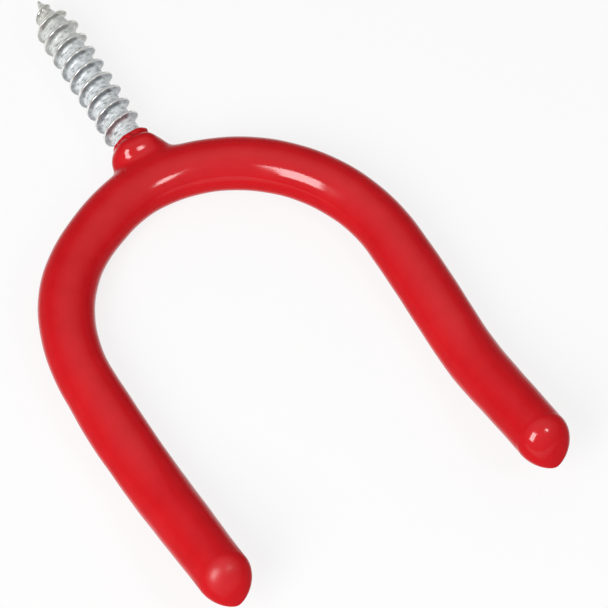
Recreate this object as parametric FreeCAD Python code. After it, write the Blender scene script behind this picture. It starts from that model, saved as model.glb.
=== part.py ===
import FreeCAD, Part
import math
import os

# Garage utility hook: a round steel bar bent into a U with both ends turned up, a lag screw welded square to
# the back of the bend, and one dipped coat of vinyl over the bar and the weld.
# Millimetres. The origin is on the screw's axis where the coat ends, which is where the wall's face comes.
# +Y is the way the screw goes into the wall, +Z is up, and the arms reach out along -Y.

# Bar
BAR_DIAMETER = 6.35
BEND_RADIUS = 25.0          # centreline of the U
RUN_LEFT = 14.0             # straight run of the -X arm, from the U to its upturn
RUN_RIGHT = 17.0            # the +X arm was bent a little further out
UPTURN_RADIUS = 32.0
UPTURN_ANGLE = 16.0
TIP_RUN = 16.2              # straight run from the upturn to the bar's cut end
BAR_END_CHAMFER = 0.6

# Lag screw
THREAD_DIAMETER = 6.35
ROOT_DIAMETER = 4.4
THREAD_PITCH = 2.54
CREST_WIDTH = 0.3
ROOT_FLAT = 1.3             # bare core between two flights
SCREW_REACH = 27.1          # from the wall's face to the point
POINT_LENGTH = 5.6          # gimlet point
POINT_DIAMETER = 0.3
POINT_HOLD = 1.6            # the thread keeps its height longer than the core does on the point
THREAD_START = 0.6          # middle of the lowest flight, just clear of the coat
START_ANGLE = 18.0          # where round the screw the thread starts, from +X
FIRST_TURN = 0.05           # the ridge is modelled from here, where it first stands out of the core
FADE_TURNS = 0.35           # the thread dies out over this part of a turn at its lower end
THREAD_SINK = 0.25          # how far the ridge's foot is rooted in the core
RAIL_STEPS = 8              # points on each edge of the ridge, per turn

# Weld between the screw's root and the bar
WELD_DIAMETER = 5.8
WELD_HEIGHT = 3.1           # along the screw, above the bar's crown
WELD_ROUND = 0.55

# Vinyl coat
COAT = 0.825
TIP_COAT = 2.4              # a dip leaves more on the two ends
TIP_SLANT = 25.0            # and sags to their undersides as it cures, so the ends slope
TIP_ROUND = 1.9
SWELL_COAT = 1.05           # the bulb over the weld: its thickness on the weld's side
SWELL_CROWN = 0.95          # and on the weld's top
SWELL_ROUND = 2.0           # shoulder of the bulb, below the collar
SWELL_BLEND = 1.8           # hollow between the bulb and the bar
COLLAR_COAT = 0.7           # thin edge that has crept up the screw
COLLAR_HEIGHT = 1.85        # above the weld
COLLAR_ROUND = 0.3

BAR_RADIUS = BAR_DIAMETER / 2
ROOT_RADIUS = ROOT_DIAMETER / 2
CREST_RADIUS = THREAD_DIAMETER / 2
POINT_RADIUS = POINT_DIAMETER / 2
WELD_RADIUS = WELD_DIAMETER / 2
COAT_RADIUS = BAR_RADIUS + COAT
# Middle of the bar at the back of the bend, so that bar, weld and coat together end at Y = 0.
APEX_Y = -(BAR_RADIUS + WELD_HEIGHT + COLLAR_HEIGHT)
WELD_TOP = APEX_Y + BAR_RADIUS + WELD_HEIGHT
SWELL_RADIUS = WELD_RADIUS + SWELL_COAT
SWELL_MIDDLE = WELD_TOP + SWELL_CROWN - SWELL_ROUND

ORIGIN = FreeCAD.Vector(0, 0, 0)
ACROSS = FreeCAD.Vector(1, 0, 0)
SCREW_AXIS = FreeCAD.Vector(0, 1, 0)
OUT = FreeCAD.Vector(0, -1, 0)
UP = FreeCAD.Vector(0, 0, 1)


def arm_edges(side, run, tip_run):
    """Straight run, upturn and tip of one arm, from the U outwards; side is -1 or +1 along X."""
    angle = math.radians(UPTURN_ANGLE)
    start = FreeCAD.Vector(side * BEND_RADIUS, APEX_Y - BEND_RADIUS, 0)
    bend = start + OUT * run

    def on_upturn(turned_by):
        return bend + (OUT * math.sin(turned_by) + UP * (1 - math.cos(turned_by))) * UPTURN_RADIUS

    rise = on_upturn(angle)
    tip = rise + (OUT * math.cos(angle) + UP * math.sin(angle)) * tip_run
    return [
        Part.LineSegment(start, bend).toShape(),
        Part.Arc(bend, on_upturn(angle / 2), rise).toShape(),
        Part.LineSegment(rise, tip).toShape(),
    ]


def hook_path(tip_run):
    """Centreline of the bent bar, from the -X tip round the U to the +X tip."""
    centre_y = APEX_Y - BEND_RADIUS
    bend = Part.Arc(
        FreeCAD.Vector(-BEND_RADIUS, centre_y, 0),
        FreeCAD.Vector(0, APEX_Y, 0),
        FreeCAD.Vector(BEND_RADIUS, centre_y, 0),
    ).toShape()
    edges = arm_edges(-1, RUN_LEFT, tip_run) + [bend] + arm_edges(1, RUN_RIGHT, tip_run)
    return Part.Wire(Part.__sortEdges__(edges))


def round_along(path, radius):
    """Solid round bar along a path."""
    first = path.OrderedEdges[0]
    start = first.valueAt(first.FirstParameter)
    section = Part.makeCircle(radius, start, first.tangentAt(first.FirstParameter))
    return path.makePipe(Part.Face(Part.Wire(section)))


def end_rims(bar, path):
    """The round edges of a bar's two cut ends."""
    ends = [path.OrderedVertexes[0].Point, path.OrderedVertexes[-1].Point]
    rims = []
    for edge in bar.Edges:
        if isinstance(edge.Curve, Part.Circle):
            if min((edge.Curve.Center - end).Length for end in ends) < 1e-6:
                rims.append(edge)
    return rims


def turned(profile):
    """Solid of revolution about the screw's axis, from (radius, along) points joined by straight lines."""
    points = [FreeCAD.Vector(radius, along, 0) for radius, along in profile]
    face = Part.Face(Part.makePolygon(points + points[:1]))
    return face.revolve(ORIGIN, SCREW_AXIS, 360)


def round_edge(solid, radius, along, rounding):
    """Rounds the circular edge of a turned solid that has this radius and this place on the screw's axis."""
    edges = []
    for edge in solid.Edges:
        if isinstance(edge.Curve, Part.Circle) and abs(edge.Curve.Radius - radius) < 1e-6:
            if abs(edge.Curve.Center.y - along) < 1e-6:
                edges.append(edge)
    return solid.makeFillet(rounding, edges)


def steel_bar():
    path = hook_path(TIP_RUN)
    bar = round_along(path, BAR_RADIUS)
    return bar.makeChamfer(BAR_END_CHAMFER, end_rims(bar, path))


def thread_section(turn):
    """Section of the thread's ridge after this many turns: its place along the axis, then the radius and the
    offset of its foot, crest, crest and foot. It fades in at its lower end and follows the gimlet point."""
    along = THREAD_START + turn * THREAD_PITCH
    taper = min(1.0, (SCREW_REACH - along) / POINT_LENGTH)
    core = POINT_RADIUS + (ROOT_RADIUS - POINT_RADIUS) * taper
    foot = core - THREAD_SINK * taper
    crest = core + (CREST_RADIUS - ROOT_RADIUS) * min(1.0, POINT_HOLD * taper) * min(1.0, turn / FADE_TURNS)
    half_crest = CREST_WIDTH / 2
    slope = (THREAD_PITCH - ROOT_FLAT - CREST_WIDTH) / 2 / (CREST_RADIUS - ROOT_RADIUS)
    half_foot = half_crest + slope * (crest - foot)
    return along, (foot, crest, crest, foot), (-half_foot, -half_crest, half_crest, half_foot)


def thread_turn(first, last):
    """One turn of the ridge: four helical strips between its edges, closed by a flat cap at each end."""
    rails = [[], [], [], []]
    for step in range(RAIL_STEPS + 1):
        turn = first + (last - first) * step / RAIL_STEPS
        along, radii, offsets = thread_section(turn)
        angle = math.radians(START_ANGLE + 360 * turn)
        for rail, radius, offset in zip(rails, radii, offsets):
            rail.append(FreeCAD.Vector(radius * math.cos(angle), along + offset, -radius * math.sin(angle)))
    edges = []
    for rail in rails:
        curve = Part.BSplineCurve()
        curve.interpolate(Points=rail, Parameters=[float(step) for step in range(RAIL_STEPS + 1)])
        edges.append(curve.toShape())
    faces = [Part.makeRuledSurface(edges[i - 1], edges[i]) for i in range(len(edges))]
    for end in (0, -1):
        corners = [rail[end] for rail in rails]
        faces.append(Part.Face(Part.makePolygon(corners + corners[:1])))
    shell = Part.makeShell(faces)
    shell.sewShape()
    return Part.makeSolid(shell)


def lag_screw(bar):
    """Threaded core with a gimlet point; its root is fitted to the bar."""
    core = turned([
        (0, APEX_Y),
        (ROOT_RADIUS, APEX_Y),
        (ROOT_RADIUS, SCREW_REACH - POINT_LENGTH),
        (POINT_RADIUS, SCREW_REACH),
        (0, SCREW_REACH),
    ])
    half_foot = (THREAD_PITCH - ROOT_FLAT) / 2
    last = (SCREW_REACH - THREAD_START - half_foot) / THREAD_PITCH
    count = math.ceil(last - FIRST_TURN)
    length = (last - FIRST_TURN) / count
    turns = [thread_turn(FIRST_TURN + i * length, FIRST_TURN + (i + 1) * length) for i in range(count)]
    return core.cut(bar).multiFuse(turns)


def weld_bead(bar, screw):
    """Plain rounded boss about the screw's axis, less the bar and the screw that it joins."""
    boss = turned([(0, APEX_Y), (WELD_RADIUS, APEX_Y), (WELD_RADIUS, WELD_TOP), (0, WELD_TOP)])
    return round_edge(boss, WELD_RADIUS, WELD_TOP, WELD_ROUND).cut(bar).cut(screw)


def edges_on(solid, place, normal):
    """Edges of a solid that lie in a plane."""
    found = []
    for edge in solid.Edges:
        if all(abs((point - place).dot(normal)) < 1e-6 for point in edge.discretize(5)):
            found.append(edge)
    return found


def coated_bar():
    """The bar's skin, with each end cut to the slope of the sag and rounded."""
    skin = round_along(hook_path(TIP_RUN + TIP_COAT + COAT_RADIUS), COAT_RADIUS)
    slant = math.radians(TIP_SLANT)
    rims = []
    for side, run in ((-1, RUN_LEFT), (1, RUN_RIGHT)):
        tip = arm_edges(side, run, TIP_RUN + TIP_COAT)[-1]
        end = tip.valueAt(tip.LastParameter)
        heading = tip.tangentAt(tip.LastParameter)
        facing = heading * math.cos(slant) + heading.cross(ACROSS) * math.sin(slant)
        skin = skin.cut(Part.makeCylinder(3 * COAT_RADIUS, 3 * COAT_RADIUS, end, facing))
        rims.append((end, facing))
    edges = [edge for end, facing in rims for edge in edges_on(skin, end, facing)]
    return skin.makeFillet(TIP_ROUND, edges)


def bulb():
    """Swelling of the coat over the weld: half a ball towards the bar, a rounded shoulder at the collar."""
    def at(radius, above):
        return FreeCAD.Vector(radius, SWELL_MIDDLE + above, 0)

    flat = SWELL_RADIUS - SWELL_ROUND
    diagonal = math.sqrt(0.5)
    low = at(0, -SWELL_RADIUS)
    side = at(SWELL_RADIUS, 0)
    top = at(flat, SWELL_ROUND)
    crown = at(0, SWELL_ROUND)
    ball = Part.Arc(low, at(SWELL_RADIUS * diagonal, -SWELL_RADIUS * diagonal), side)
    shoulder = Part.Arc(side, at(flat + SWELL_ROUND * diagonal, SWELL_ROUND * diagonal), top)
    outline = [ball.toShape(), shoulder.toShape(), Part.makeLine(top, crown), Part.makeLine(crown, low)]
    return Part.Face(Part.Wire(outline)).revolve(ORIGIN, SCREW_AXIS, 360)


def swollen(skin):
    """Adds the bulb to the bar's skin, with a hollow blend between them."""
    whole = skin.fuse(bulb())
    seam = []
    for edge in whole.Edges:
        surfaces = [face.Surface for face in whole.ancestorsOfType(edge, Part.Face)]
        on_ball = any(isinstance(surface, Part.Sphere) for surface in surfaces)
        on_skin = any(isinstance(surface, Part.Toroid) and surface.MajorRadius > SWELL_RADIUS
                      for surface in surfaces)
        if on_ball and on_skin:
            seam.append(edge)
    return whole.makeFillet(SWELL_BLEND, seam)


def vinyl_coat(bar, screw, weld):
    """Outer form of the dip, less what it covers."""
    collar_radius = ROOT_RADIUS + COLLAR_COAT
    collar = turned([(0, APEX_Y), (collar_radius, APEX_Y), (collar_radius, 0), (0, 0)])
    collar = round_edge(collar, collar_radius, 0, COLLAR_ROUND)
    return swollen(coated_bar()).fuse(collar).cut(bar).cut(weld).cut(screw)


os.makedirs("parts", exist_ok=True)
bar = steel_bar()
screw = lag_screw(bar)
weld = weld_bead(bar, screw)
coat = vinyl_coat(bar, screw, weld)
for name, solid in (("steel_bar", bar), ("lag_screw", screw), ("weld_bead", weld), ("vinyl_coat", coat)):
    solid.exportStep("parts/" + name + ".step")
    print(name, solid.isValid(), len(solid.Solids), "solid,", len(solid.Faces), "faces, %.1f mm3" % solid.Volume)
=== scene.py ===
import math

import bmesh
import bpy
import numpy as np
from mathutils import Matrix, Vector


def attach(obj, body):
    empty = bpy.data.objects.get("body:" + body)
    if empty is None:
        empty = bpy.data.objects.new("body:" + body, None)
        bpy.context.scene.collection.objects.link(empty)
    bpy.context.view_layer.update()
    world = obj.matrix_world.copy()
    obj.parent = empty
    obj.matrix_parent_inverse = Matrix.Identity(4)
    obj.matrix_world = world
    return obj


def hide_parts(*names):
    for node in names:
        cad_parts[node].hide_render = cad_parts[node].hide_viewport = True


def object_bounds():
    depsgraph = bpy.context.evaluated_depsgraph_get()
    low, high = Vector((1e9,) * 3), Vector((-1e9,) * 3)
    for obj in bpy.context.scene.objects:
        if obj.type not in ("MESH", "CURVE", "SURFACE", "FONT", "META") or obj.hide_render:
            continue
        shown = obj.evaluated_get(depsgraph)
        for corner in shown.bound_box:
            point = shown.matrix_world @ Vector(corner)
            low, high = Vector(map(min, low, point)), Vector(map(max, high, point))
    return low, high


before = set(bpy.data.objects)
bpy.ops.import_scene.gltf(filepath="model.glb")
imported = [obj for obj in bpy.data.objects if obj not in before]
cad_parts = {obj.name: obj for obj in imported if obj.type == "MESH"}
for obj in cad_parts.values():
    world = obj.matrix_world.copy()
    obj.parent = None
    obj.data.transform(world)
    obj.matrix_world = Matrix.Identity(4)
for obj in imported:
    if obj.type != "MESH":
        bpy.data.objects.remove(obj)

cad_low, cad_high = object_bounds()


# Steel bar. A quarter-inch drawn bar, bent cold into a U whose two arms turn up at their ends.
# The vinyl seals it in, so the solid from the frame stays as it is and only gets its finish.

# All sizes of the hook are in millimetres; those of the studio are in metres.
BAR_RADIUS = 3.175
BAR_CHAMFER = 0.6
BEND_RADIUS = 25.0
RUN_LEFT = 14.0
RUN_RIGHT = 17.0
UPTURN_RADIUS = 32.0
UPTURN_ANGLE = math.radians(16.0)
BAR_TIP = 16.2
APEX_Y = -8.125
BEND_CENTRE = np.array([0.0, APEX_Y - BEND_RADIUS, 0.0])
HALF_BEND = BEND_RADIUS * math.pi / 2


def start_material(name):
    """New node material: its tree, its Principled BSDF and the object's own coordinates."""
    material = bpy.data.materials.new(name)
    material.use_nodes = True
    tree = material.node_tree
    tree.nodes.clear()
    output = tree.nodes.new("ShaderNodeOutputMaterial")
    shader = tree.nodes.new("ShaderNodeBsdfPrincipled")
    place = tree.nodes.new("ShaderNodeTexCoord")
    tree.links.new(shader.outputs["BSDF"], output.inputs["Surface"])
    return material, tree, shader, place.outputs["Object"]


def mottle_group():
    """Soft clouds with a fine grain in them, from 0 to 1, for finishes that are never quite even."""
    group = bpy.data.node_groups.new("mottle", "ShaderNodeTree")
    group.interface.new_socket("Place", in_out="INPUT", socket_type="NodeSocketVector")
    group.interface.new_socket("Clouds", in_out="INPUT", socket_type="NodeSocketFloat")
    group.interface.new_socket("Grain", in_out="INPUT", socket_type="NodeSocketFloat")
    group.interface.new_socket("Amount", in_out="OUTPUT", socket_type="NodeSocketFloat")
    entry = group.nodes.new("NodeGroupInput")
    leave = group.nodes.new("NodeGroupOutput")
    clouds = group.nodes.new("ShaderNodeTexNoise")
    clouds.inputs["Detail"].default_value = 3.0
    grain = group.nodes.new("ShaderNodeTexNoise")
    grain.inputs["Detail"].default_value = 4.0
    both = group.nodes.new("ShaderNodeMix")
    both.inputs["Factor"].default_value = 0.4
    group.links.new(entry.outputs["Place"], clouds.inputs["Vector"])
    group.links.new(entry.outputs["Place"], grain.inputs["Vector"])
    group.links.new(entry.outputs["Clouds"], clouds.inputs["Scale"])
    group.links.new(entry.outputs["Grain"], grain.inputs["Scale"])
    group.links.new(clouds.outputs["Fac"], both.inputs["A"])
    group.links.new(grain.outputs["Fac"], both.inputs["B"])
    group.links.new(both.outputs["Result"], leave.inputs["Amount"])
    return group


MOTTLE = mottle_group()


def add_mottle(tree, place, clouds, grain):
    """Mottle with its own scales for the clouds and the grain."""
    node = tree.nodes.new("ShaderNodeGroup")
    node.node_tree = MOTTLE
    node.inputs["Clouds"].default_value = clouds
    node.inputs["Grain"].default_value = grain
    tree.links.new(place, node.inputs["Place"])
    return node.outputs["Amount"]


def add_ramp(tree, amount, *stops):
    """Colour ramp over (position, colour) stops."""
    ramp = tree.nodes.new("ShaderNodeValToRGB")
    ends = ramp.color_ramp.elements
    while len(ends) < len(stops):
        ends.new(0.5)
    for end, (position, colour) in zip(ends, stops):
        end.position = position
        end.color = (*colour, 1.0)
    tree.links.new(amount, ramp.inputs["Fac"])
    return ramp.outputs["Color"]


def add_range(tree, amount, low, high, to_low, to_high):
    """Straight-line map of a value, held at its two ends."""
    node = tree.nodes.new("ShaderNodeMapRange")
    node.inputs["From Min"].default_value = low
    node.inputs["From Max"].default_value = high
    node.inputs["To Min"].default_value = to_low
    node.inputs["To Max"].default_value = to_high
    tree.links.new(amount, node.inputs["Value"])
    return node.outputs["Result"]


def drawn_steel():
    material, tree, shader, place = start_material("drawn_steel")
    shader.inputs["Metallic"].default_value = 1.0
    uneven = add_mottle(tree, place, 180.0, 2600.0)
    colour = add_ramp(tree, uneven, (0.3, (0.30, 0.30, 0.31)), (0.7, (0.52, 0.52, 0.53)))
    tree.links.new(colour, shader.inputs["Base Color"])
    tree.links.new(add_range(tree, uneven, 0.3, 0.7, 0.32, 0.5), shader.inputs["Roughness"])
    return material


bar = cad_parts["steel_bar"]
bar.data.materials.clear()
bar.data.materials.append(drawn_steel())


# Weld bead. Filler metal round the screw's root, where the screw is welded square to the back of the bend.
# The vinyl covers it too, so this solid also stays; its colours are those that the heat leaves.

WELD_RADIUS = 2.9
WELD_TOP = -1.85
WELD_ROUND = 0.55


def weld_steel():
    material, tree, shader, place = start_material("weld_steel")
    shader.inputs["Metallic"].default_value = 1.0
    uneven = add_mottle(tree, place, 500.0, 3000.0)
    straw, blue, grey = (0.20, 0.17, 0.15), (0.33, 0.33, 0.36), (0.42, 0.41, 0.40)
    colour = add_ramp(tree, uneven, (0.3, straw), (0.5, blue), (0.7, grey))
    tree.links.new(colour, shader.inputs["Base Color"])
    tree.links.new(add_range(tree, uneven, 0.3, 0.7, 0.4, 0.65), shader.inputs["Roughness"])
    return material


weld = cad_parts["weld_bead"]
weld.data.materials.clear()
weld.data.materials.append(weld_steel())


# Lag screw. A steel screw with a coarse rolled thread and a gimlet point, plated in bright zinc.
# Its root is fitted to the bar and welded there; the mesh runs with the thread, so the crests stay clean.

MM = 0.001
ROOT_RADIUS = 2.2
CREST_RADIUS = 3.175
THREAD_PITCH = 2.54
CREST_WIDTH = 0.3
ROOT_FLAT = 1.3
SCREW_REACH = 27.1
POINT_LENGTH = 5.6
POINT_RADIUS = 0.15
POINT_HOLD = 1.6
THREAD_START = 0.6
START_TURN = 0.05
FADE_TURNS = 0.35
CORNER = 0.06
HALF_FOOT = (THREAD_PITCH - ROOT_FLAT) / 2
HALF_CREST = CREST_WIDTH / 2
TURN_STEPS = 112
# How far out of the core the frosting runs, where the crests' painted highlight begins, and where wear
# tints the screw.
FROST_FROM = 0.06
FROST_TO = 0.5
CREST_HIGHLIGHT_FROM = 0.84
CREST_HIGHLIGHT_TO = 0.92
WORN_FROM = 14.0
WORN_TO = 26.0


def screw_radius(turn, offset, along):
    """Radius where the thread has made this many turns, this far off the middle of its crest."""
    taper = np.clip((SCREW_REACH - along) / POINT_LENGTH, 0.0, 1.0)
    core = POINT_RADIUS + (ROOT_RADIUS - POINT_RADIUS) * taper
    height = (CREST_RADIUS - ROOT_RADIUS) * np.minimum(1.0, POINT_HOLD * taper)
    height = height * np.clip(turn / FADE_TURNS, 0.0, 1.0)
    climb = (HALF_FOOT - np.abs(offset)) / (HALF_FOOT - HALF_CREST)
    # A small hollow at the foot of each flank and a small round on the crest.
    climb = 0.5 * (climb + np.sqrt(climb ** 2 + CORNER ** 2))
    climb = 0.5 * (climb + 1.0 - np.sqrt((climb - 1.0) ** 2 + CORNER ** 2))
    return core + height * climb


def screw_mesh():
    """A helical strip one pitch wide; the top edge of each turn is the bottom edge of the next."""
    flank = HALF_FOOT - HALF_CREST
    side = [0.6 * HALF_CREST, HALF_CREST, HALF_CREST + 0.1 * flank, HALF_CREST + 0.35 * flank,
            HALF_CREST + 0.65 * flank, HALF_FOOT - 0.1 * flank, HALF_FOOT, HALF_FOOT + 0.1, HALF_FOOT + 0.3]
    offsets = np.array([-THREAD_PITCH / 2] + [-step for step in reversed(side)] + [0.0] + side)
    first = math.floor(((APEX_Y - THREAD_START) / THREAD_PITCH - 1.0) * TURN_STEPS)
    last = math.ceil(((SCREW_REACH - THREAD_START) / THREAD_PITCH + 1.0) * TURN_STEPS)
    turn = np.arange(first, last + 1)[:, None] / TURN_STEPS
    along = THREAD_START + turn * THREAD_PITCH + offsets
    radius = screw_radius(turn, offsets, along)
    angle = 2 * np.pi * (turn + START_TURN) + 0.0 * offsets
    # The lower end is fitted to the round of the bar, the upper end stops at the point.
    seat = APEX_Y + np.sqrt(BAR_RADIUS ** 2 - (np.minimum(radius, ROOT_RADIUS) * np.sin(angle)) ** 2)
    held = np.clip(along, seat, SCREW_REACH)
    points = np.stack([radius * np.cos(angle), held, -radius * np.sin(angle)], axis=2).reshape(-1, 3)
    wide = len(offsets)
    faces = []
    for i in range(last - first):
        for k in range(wide):
            a = i * wide + k
            b = a + wide
            if k + 1 < wide:
                faces.append((a, b, b + 1, a + 1))
            elif i + 1 + TURN_STEPS <= last - first:
                above = (i + TURN_STEPS) * wide
                faces.append((a, b, above + wide, above))
    return points, faces


def closed_piece(name, points, faces, merge):
    """Object from points in millimetres: doubled points merged, rims filled and normals turned outwards."""
    mesh = bpy.data.meshes.new(name)
    mesh.from_pydata((points * MM).tolist(), [], faces)
    shape = bmesh.new()
    shape.from_mesh(mesh)
    bmesh.ops.remove_doubles(shape, verts=shape.verts, dist=merge * MM)
    bmesh.ops.dissolve_degenerate(shape, edges=shape.edges, dist=merge * MM)
    bmesh.ops.holes_fill(shape, edges=shape.edges, sides=0)
    bmesh.ops.recalc_face_normals(shape, faces=shape.faces)
    shape.to_mesh(mesh)
    shape.free()
    mesh.polygons.foreach_set("use_smooth", [True] * len(mesh.polygons))
    piece = bpy.data.objects.new(name, mesh)
    bpy.context.collection.objects.link(piece)
    return piece


def add_mix(tree, amount, low, high, colour=False):
    """Blend of two linked values or colours."""
    node = tree.nodes.new("ShaderNodeMix")
    if colour:
        node.data_type = "RGBA"
    chosen = [socket for socket in node.inputs if socket.enabled]
    for socket, source in zip(chosen, (amount, low, high)):
        tree.links.new(source, socket)
    return [socket for socket in node.outputs if socket.enabled][0]


def add_math(tree, operation, first, second):
    """Sum, product or the like of two values, each linked or plain."""
    node = tree.nodes.new("ShaderNodeMath")
    node.operation = operation
    for socket, source in zip(node.inputs, (first, second)):
        if isinstance(source, float):
            socket.default_value = source
        else:
            tree.links.new(source, socket)
    return node.outputs["Value"]


def zinc_plate():
    material, tree, shader, place = start_material("zinc_plate")
    split = tree.nodes.new("ShaderNodeSeparateXYZ")
    tree.links.new(place, split.inputs["Vector"])
    flat = tree.nodes.new("ShaderNodeCombineXYZ")
    tree.links.new(split.outputs["X"], flat.inputs["X"])
    tree.links.new(split.outputs["Z"], flat.inputs["Z"])
    length = tree.nodes.new("ShaderNodeVectorMath")
    length.operation = "LENGTH"
    tree.links.new(flat.outputs["Vector"], length.inputs[0])
    # How far a place stands out of the core, which thins towards the point.
    core = add_range(tree, split.outputs["Y"], (SCREW_REACH - POINT_LENGTH) * MM, SCREW_REACH * MM,
                     ROOT_RADIUS * MM, POINT_RADIUS * MM)
    out = add_math(tree, "SUBTRACT", length.outputs["Value"], core)
    frost = add_range(tree, out, FROST_FROM * MM, FROST_TO * MM, 1.0, 0.0)
    # Marks of the rolling run round the screw, so the pattern is drawn out that way.
    drawn = tree.nodes.new("ShaderNodeMapping")
    drawn.inputs["Scale"].default_value = (1.0, 3.0, 1.0)
    tree.links.new(place, drawn.inputs["Vector"])
    uneven = add_mottle(tree, drawn.outputs["Vector"], 1100.0, 4200.0)
    pitted = add_ramp(tree, uneven, (0.38, (0.28, 0.29, 0.29)), (0.44, (0.62, 0.66, 0.67)),
                      (0.555, (0.90, 0.94, 0.95)))
    rolled = add_ramp(tree, uneven, (0.4, (0.24, 0.26, 0.28)), (0.6, (0.44, 0.46, 0.47)))
    plain = add_mix(tree, frost, rolled, pitted, colour=True)
    # The crests are painted lighter: a painted highlight along each crest line.
    crest = add_range(tree, out, CREST_HIGHLIGHT_FROM * MM, CREST_HIGHLIGHT_TO * MM, 0.0, 1.0)
    crest_highlight = add_ramp(tree, uneven, (0.35, (0.72, 0.73, 0.71)), (0.6, (0.92, 0.93, 0.91)))
    plain = add_mix(tree, crest, plain, crest_highlight, colour=True)
    worn = add_range(tree, split.outputs["Y"], WORN_FROM * MM, WORN_TO * MM, 0.0, 0.5)
    straw = add_ramp(tree, uneven, (0.35, (0.58, 0.53, 0.40)), (0.65, (0.86, 0.83, 0.74)))
    tree.links.new(add_mix(tree, worn, plain, straw, colour=True), shader.inputs["Base Color"])
    # Dull plating scatters light like a pale paint, on the frosted core most of all.
    tree.links.new(add_range(tree, frost, 0.0, 1.0, 0.6, 0.35), shader.inputs["Metallic"])
    smooth = add_range(tree, uneven, 0.35, 0.65, 0.1, 0.18)
    frosted = add_range(tree, uneven, 0.35, 0.65, 0.38, 0.52)
    tree.links.new(add_mix(tree, frost, smooth, frosted), shader.inputs["Roughness"])
    bump = tree.nodes.new("ShaderNodeBump")
    bump.inputs["Distance"].default_value = 0.10 * MM
    tree.links.new(add_range(tree, frost, 0.0, 1.0, 0.04, 0.7), bump.inputs["Strength"])
    tree.links.new(uneven, bump.inputs["Height"])
    tree.links.new(bump.outputs["Normal"], shader.inputs["Normal"])
    return material


screw = closed_piece("lag_screw_plated", *screw_mesh(), merge=0.002)
screw.data.materials.append(zinc_plate())
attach(screw, "root")
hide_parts("lag_screw")


# Vinyl coat. One dip of red vinyl over the bar and the weld, cured to a gloss, that sags off the two tips.
# It swells over the weld and ends on the screw in a thin collar with a rolled edge and small beads.

COAT_RADIUS = 4.0
NOSE_LEFT = 18.9
NOSE_RIGHT = 18.4
NOSE_LENGTH = 3.8
NOSE_FULLNESS = 2.25
NOSE_SAG = 3.1
NOSE_SAG_POWER = 1.1
NOSE_RINGS = 26
# Hand bends and heavy places of the dip: place along the bar, reach, drift outwards, extra thickness.
STRAYS = (
    (-78.0, 9.0, 0.0, -0.11), (-60.0, 10.0, -0.17, 0.15), (-47.0, 7.0, 0.2, 0.19), (-25.0, 6.0, 0.14, 0.16),
    (-11.5, 6.0, -0.32, 0.0), (0.0, 26.0, 0.0, -0.1), (45.0, 8.0, 0.18, 0.1), (57.0, 11.0, 0.0, 0.08),
    (64.0, 8.0, -0.17, 0.0), (78.0, 9.0, 0.0, -0.11),
)
# Slight ripples of the dip along the bar: height, turn for each millimetre, start.
RIPPLES = ((0.012, 0.52, 0.0), (0.008, 1.13, 1.0))
DOME_Y = -4.8
DOME_RADIUS = 4.6
DOME_DEPTH = 2.9
DOME_BLEND = 2.0
BULGE_AT = (-0.3, -2.9, 0.3)
BULGE_HALF = (3.35, 2.3, 3.75)
BULGE_BLEND = 1.4
COLLAR_RADIUS = 2.55
COLLAR_ROUND = 0.2
COLLAR_ROLL = 0.46
COLLAR_BLEND = 0.3
LIP_Y = -0.22
LIP_LEAN = 0.26
LIP_LEAN_TURN = 0.4
# Unevenness of the lip: height, waves round the screw.
LIP_WAVES = ((0.04, 3.0), (0.03, 7.0))
# Beads at the lip: where round the screw, how far along it, how far off its axis and how large.
BEADS = (
    (1.81, -1.35, 3.22, 0.44), (2.14, -1.2, 3.0, 0.3), (2.42, -1.1, 2.95, 0.28), (2.7, -1.0, 2.92, 0.28),
    (0.5, -0.5, 2.7, 0.36), (-1.4, -0.6, 2.7, 0.38),
)
BEAD_BLEND = 0.3
STEEL_BLEND = 0.05
# The skin's rings, and its opening round the screw with the rings that lead from there up to the lip.
RING_STEP = 0.55
ROUND_STEPS = 64
OPEN_STEPS = 20
OPEN_REACH = 9.5
OPEN_CORNER = math.radians(27.0)
LEAD_RINGS = 64
FOOT_RADIUS = 5.6
FOOT_DEPTH = 0.9
FOOT_MARK = 0.28
# Rough way of each skin's rings up to the lip, before they settle: radius, place along the screw.
OUTER_WAY = ((4.5, -4.0), (4.0, -2.6), (3.2, -1.5), (COLLAR_RADIUS, -1.0), (COLLAR_RADIUS, LIP_Y))
INNER_WAY = ((WELD_RADIUS, WELD_TOP - 0.9), (2.5, WELD_TOP), (ROOT_RADIUS, WELD_TOP + 0.2))
# How the rings settle: rounds in all, last ones without evening out, and limits on slopes and moves.
SETTLE_ROUNDS = 70
LAST_ROUNDS = 5
SLOPE_STEP = 0.01
LEAST_SLOPE = 0.2
LONGEST_MOVE = 0.6
# Matt end of the left tip, along Y, and the width across which the left arm is told from the right.
MATT_FROM = -66.0
MATT_TO = -70.0
LEFT_FROM = -10.0
LEFT_TO = 10.0


def on_bar(s):
    """Middle, outward and upward directions of the bar at a length from the back of the bend.

    Lengths on the -X arm are negative.
    """
    side = math.copysign(1.0, s)
    angle = min(abs(s) / BEND_RADIUS, math.pi / 2)
    outward = np.array([side * math.sin(angle), math.cos(angle), 0.0])
    gone = max(abs(s) - HALF_BEND, 0.0)
    run = RUN_LEFT if s < 0 else RUN_RIGHT
    turned = min(max(gone - run, 0.0) / UPTURN_RADIUS, UPTURN_ANGLE)
    past = max(gone - run - UPTURN_RADIUS * UPTURN_ANGLE, 0.0)
    middle = BEND_CENTRE + BEND_RADIUS * outward - np.array([0.0, min(gone, run), 0.0])
    middle += UPTURN_RADIUS * np.array([0.0, -math.sin(turned), 1.0 - math.cos(turned)])
    middle += past * np.array([0.0, -math.cos(turned), math.sin(turned)])
    return middle, outward, np.array([0.0, math.sin(turned), math.cos(turned)])


def arm_end(run, tip):
    """Length along the bar from the back of the bend to a place this far past the upturn."""
    return HALF_BEND + run + UPTURN_RADIUS * UPTURN_ANGLE + tip


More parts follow.
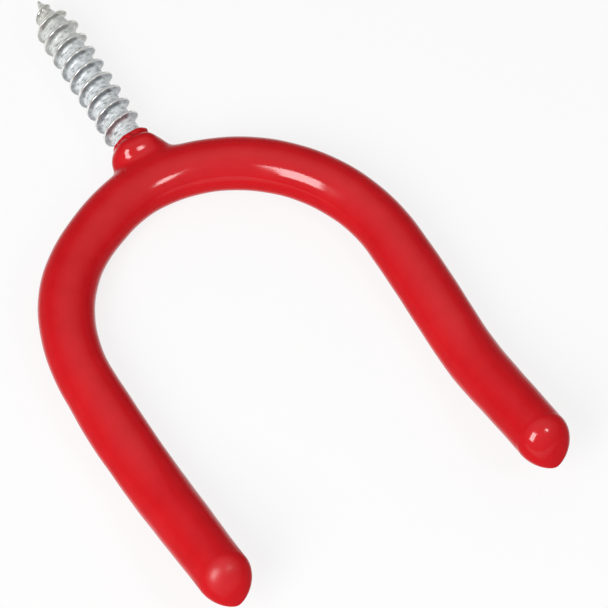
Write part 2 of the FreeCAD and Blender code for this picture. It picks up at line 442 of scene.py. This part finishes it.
def hump(s, place, reach):
    """1 at a place along the bar, and less over its reach to both sides."""
    return np.exp(-(((s - place) / reach) ** 2))


def coat_drift(s):
    """How far the middle of the coat lies outside the bar's."""
    return sum(drift * hump(s, place, reach) for place, reach, drift, extra in STRAYS)


def coat_radius(s):
    """Radius over the coat, with its heavy and lean places and its ripples."""
    uneven = sum(extra * hump(s, place, reach) for place, reach, drift, extra in STRAYS)
    return COAT_RADIUS + uneven + sum(height * np.sin(turn * s + start) for height, turn, start in RIPPLES)


def soft_union(a, b, reach):
    """Smaller of two distances, with a hollow of this reach where they meet."""
    near = np.maximum(reach - np.abs(a - b), 0.0) / reach
    return np.minimum(a, b) - near ** 3 * reach / 6.0


def round_boss(off_axis, along, radius, top, rounding):
    """Distance to a boss with a rounded rim on the screw's axis."""
    sideways = off_axis - radius + rounding
    above = along - top + rounding
    outside = np.hypot(np.maximum(sideways, 0.0), np.maximum(above, 0.0))
    return outside + np.minimum(np.maximum(sideways, above), 0.0) - rounding


def dome(x, y, z):
    """Distance, near enough, to the low dome that the coat makes on the bar, shallower than it is wide."""
    reach = np.sqrt(x ** 2 + (y - DOME_Y) ** 2 + (z * DOME_RADIUS / DOME_DEPTH) ** 2)
    return (reach / DOME_RADIUS - 1.0) * DOME_DEPTH


def bulge(x, y, z):
    """The same for the bulge over the weld's bead, squarish across the screw."""
    x, y, z = [(value - at) / half for value, at, half in zip((x, y, z), BULGE_AT, BULGE_HALF)]
    across = (np.abs(x) ** 3 + np.abs(z) ** 3) ** (1.0 / 3.0)
    return (np.hypot(across, y) - 1.0) * BULGE_HALF[1]


def lip_height(around):
    """How far along the screw the coat's uneven edge lies, at an angle round it."""
    waves = sum(height * np.sin(count * around) for height, count in LIP_WAVES)
    return LIP_Y + LIP_LEAN * np.cos(around + LIP_LEAN_TURN) + waves


def coat_distance(p):
    """Distance to the coat's outer form round the screw: skin of the bar, swelling, collar and beads."""
    x, y, z = p[..., 0], p[..., 1], p[..., 2]
    s = BEND_RADIUS * np.arctan2(x, y - BEND_CENTRE[1])
    skin = np.hypot(np.hypot(x, y - BEND_CENTRE[1]) - BEND_RADIUS - coat_drift(s), z) - coat_radius(s)
    lip = lip_height(np.arctan2(z, x))
    off_axis = np.hypot(x, z)
    collar = round_boss(off_axis, y, COLLAR_RADIUS, lip, COLLAR_ROUND)
    collar = np.minimum(collar, np.hypot(off_axis - COLLAR_RADIUS, y - lip + COLLAR_ROLL) - COLLAR_ROLL)
    form = soft_union(skin, dome(x, y, z), DOME_BLEND)
    form = soft_union(form, bulge(x, y, z), BULGE_BLEND)
    form = soft_union(form, collar, COLLAR_BLEND)
    for turn, along, out, size in BEADS:
        bead = np.array([out * math.cos(turn), along, out * math.sin(turn)])
        form = soft_union(form, np.linalg.norm(p - bead, axis=-1) - size, BEAD_BLEND)
    return form


def steel_distance(p):
    """Distance to what the coat lies on round the screw: bar, weld and shank."""
    x, y, z = p[..., 0], p[..., 1], p[..., 2]
    off_axis = np.hypot(x, z)
    steel = np.hypot(np.hypot(x, y - BEND_CENTRE[1]) - BEND_RADIUS, z) - BAR_RADIUS
    bead = round_boss(off_axis, y, WELD_RADIUS, WELD_TOP, WELD_ROUND)
    return soft_union(soft_union(steel, bead, STEEL_BLEND), off_axis - ROOT_RADIUS, STEEL_BLEND)


def settle(grid, distance):
    """Draws rings of points onto a form and evens them out along it; the first and last rings stay."""
    steps = SLOPE_STEP * np.eye(3)
    for count in range(SETTLE_ROUNDS):
        slope = [distance(grid + step) - distance(grid - step) for step in steps]
        slope = np.stack(slope, axis=-1) / (2 * SLOPE_STEP)
        length = np.maximum(np.linalg.norm(slope, axis=-1, keepdims=True), LEAST_SLOPE)
        normal = slope / length
        moved = grid - normal * (distance(grid)[..., None] / length).clip(-LONGEST_MOVE, LONGEST_MOVE)
        if count < SETTLE_ROUNDS - LAST_ROUNDS:
            middle = (np.roll(moved, 1, 1) + np.roll(moved, -1, 1)) / 2
            middle[1:-1] = (middle[1:-1] + (moved[2:] + moved[:-2]) / 2) / 2
            pull = middle - moved
            moved = moved + 0.5 * (pull - normal * (pull * normal).sum(-1, keepdims=True))
        grid[1:-1] = moved[1:-1]
    return grid


def nose_rings(radius):
    """(length back from the nose, ring radius, sag) from a coated tip's nose to where it runs straight."""
    rings = []
    for step in range(1, NOSE_RINGS + 1):
        full = math.cos(math.pi / 2 * step / NOSE_RINGS)
        wide = radius * (1.0 - full ** NOSE_FULLNESS) ** (1.0 / NOSE_FULLNESS)
        rings.append((NOSE_LENGTH * (1.0 - full), wide, NOSE_SAG * (1.0 - wide / radius) ** NOSE_SAG_POWER))
    return rings


def chamfer_rings(radius):
    """The same for the cut end of the bar."""
    return [(0.0, radius - BAR_CHAMFER, 0.0), (BAR_CHAMFER, radius, 0.0)]


def skin_of_bar(radius_at, drift_at, left_end, right_end, end_rings):
    """Points and faces of rings round the bar from tip to tip, and the rim of the opening at the screw."""
    left_rings = end_rings(radius_at(-left_end))
    right_rings = end_rings(radius_at(right_end))
    rows = [(back - left_end, wide, sag) for back, wide, sag in left_rings[:-1]]
    count = round(left_end / RING_STEP)
    for s in np.linspace(left_rings[-1][0] - left_end, 0.0, count, endpoint=False):
        rows.append((s, radius_at(s), 0.0))
    middle_row = len(rows)
    count = round(right_end / RING_STEP)
    for s in np.linspace(0.0, right_end - right_rings[-1][0], count + 1):
        rows.append((s, radius_at(s), 0.0))
    rows += [(right_end - back, wide, sag) for back, wide, sag in reversed(right_rings[:-1])]
    around = 2 * np.pi * np.arange(ROUND_STEPS) / ROUND_STEPS
    rings = []
    for s, wide, sag in rows:
        middle, outward, upward = on_bar(s)
        spoke = np.cos(around)[:, None] * outward + np.sin(around)[:, None] * upward
        rings.append(middle + drift_at(s) * outward - sag * upward + wide * spoke)

    def at(row, column):
        return row * ROUND_STEPS + column % ROUND_STEPS

    first = middle_row - round(OPEN_REACH / RING_STEP)
    last = middle_row + round(OPEN_REACH / RING_STEP)
    faces = []
    for row in range(len(rows) - 1):
        for column in range(-ROUND_STEPS // 2, ROUND_STEPS // 2):
            if not (first <= row < last and -OPEN_STEPS <= column < OPEN_STEPS):
                beside = column + 1
                faces.append((at(row, column), at(row, beside), at(row + 1, beside), at(row + 1, column)))
    faces.append(tuple(at(0, column) for column in range(ROUND_STEPS)))
    faces.append(tuple(at(len(rows) - 1, column) for column in reversed(range(ROUND_STEPS))))
    # Once round the opening: up its +X side, back along its top, down its -X side and out along its bottom.
    rim = [at(last, column) for column in range(-OPEN_STEPS, OPEN_STEPS + 1)]
    rim += [at(row, OPEN_STEPS) for row in range(last - 1, first - 1, -1)]
    rim += [at(first, column) for column in range(OPEN_STEPS - 1, -OPEN_STEPS - 1, -1)]
    rim += [at(row, -OPEN_STEPS) for row in range(first + 1, last)]
    return np.concatenate(rings), faces, rim


def rim_angles(count):
    """Angle round the screw for each point of the opening's rim, spread evenly over its four sides."""
    ends = 2 * OPEN_STEPS
    sides = (count - 2 * ends) // 2
    return np.concatenate([
        np.linspace(-OPEN_CORNER, OPEN_CORNER, ends, endpoint=False),
        np.linspace(OPEN_CORNER, math.pi - OPEN_CORNER, sides, endpoint=False),
        np.linspace(math.pi - OPEN_CORNER, math.pi + OPEN_CORNER, ends, endpoint=False),
        np.linspace(math.pi + OPEN_CORNER, 2 * math.pi - OPEN_CORNER, sides, endpoint=False),
    ])


def round_screw(angles, radius, along):
    """Ring of points round the screw, level or not."""
    return np.stack([radius * np.cos(angles), 0.0 * angles + along, radius * np.sin(angles)], axis=1)


def lead_up(rim, way, distance):
    """Rings of points from the opening's rim up to the lip, settled onto a form."""
    angles = rim_angles(len(rim))
    depth = np.maximum(COAT_RADIUS ** 2 - (FOOT_RADIUS * np.sin(angles)) ** 2, 0.0)
    keys = [rim, round_screw(angles, FOOT_RADIUS, APEX_Y + FOOT_DEPTH * np.sqrt(depth))]
    for radius, along in way:
        keys.append(round_screw(angles, radius, along))
    keys.append(round_screw(angles, ROOT_RADIUS, lip_height(angles)))
    marks = np.concatenate([[0.0], np.linspace(FOOT_MARK, 1.0, len(keys) - 1)])
    grid = []
    for t in np.linspace(0.0, 1.0, LEAD_RINGS + 1):
        k = min(int(np.searchsorted(marks, t, side="right")) - 1, len(keys) - 2)
        u = (t - marks[k]) / (marks[k + 1] - marks[k])
        grid.append(keys[k] * (1.0 - u) + keys[k + 1] * u)
    return settle(np.array(grid), distance)


def coat_mesh():
    """Outer and inner skins of the coat, which meet on the screw at the lip."""
    outer = skin_of_bar(coat_radius, coat_drift, arm_end(RUN_LEFT, NOSE_LEFT),
                        arm_end(RUN_RIGHT, NOSE_RIGHT), nose_rings)
    inner = skin_of_bar(lambda s: BAR_RADIUS, lambda s: 0.0, arm_end(RUN_LEFT, BAR_TIP),
                        arm_end(RUN_RIGHT, BAR_TIP), chamfer_rings)
    points = []
    faces = []
    for (rings, ring_faces, rim), way, distance in (
        (outer, OUTER_WAY, coat_distance),
        (inner, INNER_WAY, steel_distance),
    ):
        grid = lead_up(rings[rim], way, distance)
        start = sum(len(part) for part in points)
        faces += [tuple(start + i for i in face) for face in ring_faces]
        index = start + len(rings) + np.arange(LEAD_RINGS * len(rim)).reshape(LEAD_RINGS, len(rim))
        index = np.concatenate([start + np.array(rim)[None, :], index])
        for ring in range(LEAD_RINGS):
            for k in range(len(rim)):
                n = (k + 1) % len(rim)
                faces.append((index[ring, k], index[ring, n], index[ring + 1, n], index[ring + 1, k]))
        points += [rings, grid[1:].reshape(-1, 3)]
    return np.concatenate(points), faces


def red_vinyl():
    material, tree, shader, place = start_material("red_vinyl")
    shader.inputs["IOR"].default_value = 1.52
    uneven = add_mottle(tree, place, 50.0, 400.0)
    dark, red, light = (0.55, 0.009, 0.013), (0.60, 0.011, 0.016), (0.64, 0.014, 0.019)
    colour = add_ramp(tree, uneven, (0.3, dark), (0.5, red), (0.7, light))
    tree.links.new(colour, shader.inputs["Base Color"])
    # The left tip is matt at its end.
    split = tree.nodes.new("ShaderNodeSeparateXYZ")
    tree.links.new(place, split.inputs["Vector"])
    end = add_range(tree, split.outputs["Y"], MATT_FROM * MM, MATT_TO * MM, 0.0, 1.0)
    left = add_range(tree, split.outputs["X"], LEFT_FROM * MM, LEFT_TO * MM, 1.0, 0.0)
    dull = add_math(tree, "MULTIPLY", end, left)
    gloss = add_range(tree, uneven, 0.3, 0.7, 0.09, 0.16)
    matt = add_range(tree, uneven, 0.3, 0.7, 0.36, 0.48)
    tree.links.new(add_mix(tree, dull, gloss, matt), shader.inputs["Roughness"])
    # The soft skin shows its gloss where it faces the viewer, and a little sheen at its very edges.
    edge = tree.nodes.new("ShaderNodeLayerWeight")
    edge.inputs["Blend"].default_value = 0.5
    front = add_range(tree, edge.outputs["Facing"], 0.06, 0.26, 0.48, 0.0)
    brim = add_range(tree, edge.outputs["Facing"], 0.6, 1.0, 0.02, 0.25)
    tree.links.new(add_math(tree, "ADD", front, brim), shader.inputs["Specular IOR Level"])
    # Slow waves of the dip, with a pinhole here and there.
    waves = tree.nodes.new("ShaderNodeTexNoise")
    waves.inputs["Scale"].default_value = 220.0
    waves.inputs["Detail"].default_value = 0.0
    tree.links.new(place, waves.inputs["Vector"])
    cells = tree.nodes.new("ShaderNodeTexVoronoi")
    cells.inputs["Scale"].default_value = 330.0
    tree.links.new(place, cells.inputs["Vector"])
    pinholes = add_range(tree, cells.outputs["Distance"], 0.02, 0.05, -4.0, 0.0)
    bump = tree.nodes.new("ShaderNodeBump")
    bump.inputs["Strength"].default_value = 0.14
    bump.inputs["Distance"].default_value = 0.02 * MM
    tree.links.new(add_math(tree, "ADD", waves.outputs["Fac"], pinholes), bump.inputs["Height"])
    tree.links.new(bump.outputs["Normal"], shader.inputs["Normal"])
    return material


coat = closed_piece("vinyl_coat_dipped", *coat_mesh(), merge=0.004)
coat.data.materials.append(red_vinyl())
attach(coat, "root")
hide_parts("vinyl_coat")


# Studio. A plain white floor under the hook, two soft lamps in front of it, a sky that is paler behind
# on the right, and the camera where the photograph was taken from. None of it belongs to the object.

FLOOR_HALF = 2.0
FLOOR_WHITE = 0.82
PAPER_SHADE = (0.9, 0.9, 0.9, 1.0)
SKY_PALE_SIDE = Vector((0.45, 0.5, 0.74)).normalized()
CAMERA_AZIMUTH = math.radians(-35.36)
CAMERA_ELEVATION = math.radians(59.41)
CAMERA_ROLL = math.radians(5.87)
CAMERA_DISTANCE = 0.8
CAMERA_AIM = Vector((0.01106, -0.03231, -0.00787))
CAMERA_LENS = 328.07
LAMP_AIM = Vector((0.0, -0.03, 0.0))


def towards(azimuth, elevation):
    """Direction from the hook; azimuth 0 is straight in front, along -Y, and it grows towards +X."""
    level = math.cos(elevation)
    return Vector((math.sin(azimuth) * level, -math.cos(azimuth) * level, math.sin(elevation)))


corners = [(x * FLOOR_HALF, y * FLOOR_HALF, cad_low[2]) for x, y in ((-1, -1), (1, -1), (1, 1), (-1, 1))]
floor_mesh = bpy.data.meshes.new("floor")
floor_mesh.from_pydata(corners, [], [(0, 1, 2, 3)])
floor = bpy.data.objects.new("floor", floor_mesh)
bpy.context.collection.objects.link(floor)

# The paper is nearly white to the camera and in reflections; the rest of it takes the light and the shadow.
paper = bpy.data.materials.new("white_paper")
paper.use_nodes = True
tree = paper.node_tree
tree.nodes.clear()
output = tree.nodes.new("ShaderNodeOutputMaterial")
shade = tree.nodes.new("ShaderNodeBsdfDiffuse")
shade.inputs["Color"].default_value = PAPER_SHADE
white = tree.nodes.new("ShaderNodeEmission")
white.inputs["Color"].default_value = (1.0, 1.0, 1.0, 1.0)
path = tree.nodes.new("ShaderNodeLightPath")
seen = add_math(tree, "MAXIMUM", path.outputs["Is Camera Ray"], path.outputs["Is Glossy Ray"])
seen = add_math(tree, "MAXIMUM", seen, path.outputs["Is Transmission Ray"])
mixed = tree.nodes.new("ShaderNodeMixShader")
tree.links.new(add_math(tree, "MULTIPLY", seen, FLOOR_WHITE), mixed.inputs["Fac"])
tree.links.new(shade.outputs["BSDF"], mixed.inputs[1])
tree.links.new(white.outputs["Emission"], mixed.inputs[2])
tree.links.new(mixed.outputs["Shader"], output.inputs["Surface"])
floor.data.materials.append(paper)

world = bpy.data.worlds.new("studio")
bpy.context.scene.world = world
world.use_nodes = True
tree = world.node_tree
tree.nodes.clear()
output = tree.nodes.new("ShaderNodeOutputWorld")
sky = tree.nodes.new("ShaderNodeBackground")
place = tree.nodes.new("ShaderNodeTexCoord")
facing = tree.nodes.new("ShaderNodeVectorMath")
facing.operation = "DOT_PRODUCT"
facing.inputs[1].default_value = SKY_PALE_SIDE
tree.links.new(place.outputs["Generated"], facing.inputs[0])
pale = add_range(tree, facing.outputs["Value"], -0.3, 1.0, 0.0, 1.0)
greys = add_ramp(tree, pale, (0.0, (0.20, 0.20, 0.21)), (0.5, (0.30, 0.30, 0.30)), (1.0, (0.5, 0.5, 0.5)))
tree.links.new(greys, sky.inputs["Color"])
tree.links.new(sky.outputs["Background"], output.inputs["Surface"])

for name, azimuth, elevation, far, wide, tall, watts in (
    ("lamp_right", 25.0, 50.0, 0.7, 0.085, 0.17, 0.55),
    ("lamp_left", -62.0, 42.0, 0.7, 0.31, 0.38, 3.9),
):
    lamp = bpy.data.lights.new(name, "AREA")
    lamp.shape = "RECTANGLE"
    lamp.size = wide
    lamp.size_y = tall
    lamp.energy = watts
    stand = bpy.data.objects.new(name, lamp)
    bpy.context.collection.objects.link(stand)
    stand.location = LAMP_AIM + towards(math.radians(azimuth), math.radians(elevation)) * far
    stand.rotation_euler = (LAMP_AIM - stand.location).to_track_quat("-Z", "Y").to_euler()

back = towards(CAMERA_AZIMUTH, CAMERA_ELEVATION)
level = Vector((math.cos(CAMERA_AZIMUTH), math.sin(CAMERA_AZIMUTH), 0.0))
across = level * math.cos(CAMERA_ROLL) + back.cross(level) * math.sin(CAMERA_ROLL)
lens = bpy.data.cameras.new("camera")
lens.sensor_width = 36.0
lens.lens = CAMERA_LENS
camera = bpy.data.objects.new("camera", lens)
bpy.context.collection.objects.link(camera)
turned = Matrix((across, back.cross(across), back)).transposed()
camera.matrix_world = Matrix.Translation(CAMERA_AIM + back * CAMERA_DISTANCE) @ turned.to_4x4()
bpy.context.scene.camera = camera
bpy.context.scene.view_settings.view_transform = "Standard"
